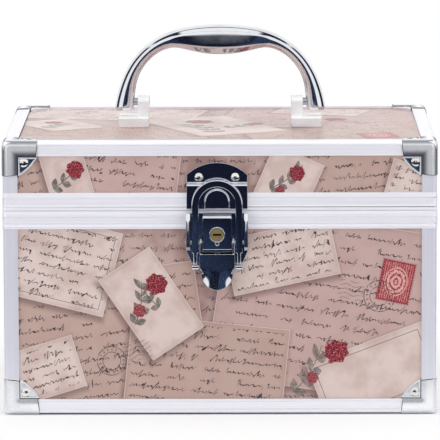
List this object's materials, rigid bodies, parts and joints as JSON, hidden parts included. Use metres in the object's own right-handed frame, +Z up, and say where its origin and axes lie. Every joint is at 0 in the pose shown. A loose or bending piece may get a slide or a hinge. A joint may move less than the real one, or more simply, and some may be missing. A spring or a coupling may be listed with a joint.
{
  "type": "makeup storage case",
  "caption": "Framed hard-sided makeup case with a hinged lid, folding bail handle, keyed draw latch, corner guards and trays that rise as the lid opens.",
  "frame": {"origin": "on the ground, under the middle of the closed case", "axes": "+X to the right, the front with the latch faces -Y, +Z up"},
  "size_m": [0.24, 0.1828, 0.2088],
  "materials": {
    "printed_board": "thin board faced with a satin printed film",
    "aluminium": "satin anodised extrusion",
    "lining": "thin black felt lining",
    "chrome": "bright chrome plate",
    "rivet": "nickel plated domed rivet",
    "steel": "zinc plated steel",
    "brass": "plain turned brass",
    "tray_plastic": "moulded black plastic with a fine grain",
    "mirror": "silvered glass",
    "clip_plastic": "black moulded plastic"
  },
  "bodies": {
    "case_body": {"body_front_panel": "printed_board", "body_rear_panel": "printed_board", "body_left_panel": "printed_board", "body_right_panel": "printed_board", "body_bottom_panel": "printed_board", "body_lining": "lining", "body_corner_posts": "aluminium", "bottom_edge_rails": "aluminium", "body_rim": "aluminium", "corner_bottom_front_left": "chrome", "corner_bottom_front_right": "chrome", "corner_bottom_rear_left": "chrome", "corner_bottom_rear_right": "chrome", "body_corner_rivets": "rivet", "hinge_leaf_body": "steel", "hinge_pin": "steel", "hinge_rivets_body": "rivet", "latch_base": "chrome", "lock_housing": "chrome", "latch_base_rivets": "rivet", "latch_lever_pin": "steel", "tray_arm_studs": "rivet"},
    "lid": {"lid_top_panel": "printed_board", "lid_front_panel": "printed_board", "lid_rear_panel": "printed_board", "lid_left_panel": "printed_board", "lid_right_panel": "printed_board", "lid_lining": "lining", "lid_corner_posts": "aluminium", "top_edge_rails": "aluminium", "lid_rim": "aluminium", "corner_top_front_left": "chrome", "corner_top_front_right": "chrome", "corner_top_rear_left": "chrome", "corner_top_rear_right": "chrome", "lid_corner_rivets": "rivet", "hinge_leaf_lid": "steel", "hinge_rivets_lid": "rivet", "latch_keeper": "chrome", "keeper_rivets": "rivet", "handle_bracket_left": "chrome", "handle_bracket_right": "chrome", "handle_pins": "steel", "bracket_screws": "steel", "lid_mirror": "mirror", "mirror_clips": "clip_plastic", "lid_link_studs": "rivet"},
    "handle": {"handle": "chrome"},
    "latch_lever": {"latch_lever": "chrome", "bail_pin": "steel"},
    "latch_bail": {"latch_bail": "chrome"},
    "lock_plug": {"lock_plug": "brass"},
    "front_tray_arms": {"front_tray_arms": "steel"},
    "rear_tray_arms": {"rear_tray_arms": "steel"},
    "lower_tray": {"lower_tray": "tray_plastic", "lower_tray_studs": "rivet"},
    "upper_tray": {"upper_tray": "tray_plastic", "upper_tray_studs": "rivet"},
    "drag_links": {"drag_links": "steel"}
  },
  "joints": [
    {"name": "lid_hinge", "type": "hinge", "parent": "case_body", "child": "lid", "pos_m": [0, 0.0874, 0.1141], "axis": [-1, 0, 0], "range_deg": [0, 100]},
    {"name": "front_arms_pivot", "type": "hinge", "parent": "case_body", "child": "front_tray_arms", "pos_m": [0, 0.005, 0.074], "axis": [-1, 0, 0], "range_deg": [0, 100]},
    {"name": "rear_arms_pivot", "type": "hinge", "parent": "case_body", "child": "rear_tray_arms", "pos_m": [0, 0.045, 0.074], "axis": [-1, 0, 0], "range_deg": [0, 100]},
    {"name": "lower_tray_pivot", "type": "hinge", "parent": "rear_tray_arms", "child": "lower_tray", "pos_m": [0, 0.01235, 0.08589], "axis": [-1, 0, 0], "range_deg": [-100, 0]},
    {"name": "upper_tray_pivot", "type": "hinge", "parent": "rear_tray_arms", "child": "upper_tray", "pos_m": [0, -0.02031, 0.09777], "axis": [-1, 0, 0], "range_deg": [-100, 0]},
    {"name": "drag_link_pivot", "type": "hinge", "parent": "lid", "child": "drag_links", "pos_m": [0, 0.02209, 0.13787], "axis": [-1, 0, 0], "range_deg": [-100, 0]},
    {"name": "handle_fold", "type": "hinge", "parent": "lid", "child": "handle", "pos_m": [0, 0, 0.1646], "axis": [1, 0, 0], "range_deg": [-90, 90]},
    {"name": "latch_lever_pivot", "type": "hinge", "parent": "case_body", "child": "latch_lever", "pos_m": [0, -0.0872, 0.0966], "axis": [-1, 0, 0], "range_deg": [0, 95]},
    {"name": "latch_bail_pivot", "type": "hinge", "parent": "latch_lever", "child": "latch_bail", "pos_m": [0, -0.0864, 0.083], "axis": [-1, 0, 0], "range_deg": [-120, 0]},
    {"name": "lock_turn", "type": "hinge", "parent": "case_body", "child": "lock_plug", "pos_m": [-0.0015, -0.092, 0.1017], "axis": [0, -1, 0], "range_deg": [0, 90]}
  ],
  "couplings": [
    {"joint": "front_arms_pivot", "follows": "lid_hinge", "ratio": 1},
    {"joint": "rear_arms_pivot", "follows": "lid_hinge", "ratio": 1},
    {"joint": "lower_tray_pivot", "follows": "lid_hinge", "ratio": -1},
    {"joint": "upper_tray_pivot", "follows": "lid_hinge", "ratio": -1},
    {"joint": "drag_link_pivot", "follows": "lid_hinge", "ratio": -1},
    {"joint": "latch_bail_pivot", "follows": "latch_lever_pivot", "ratio": -1.263}
  ]
}
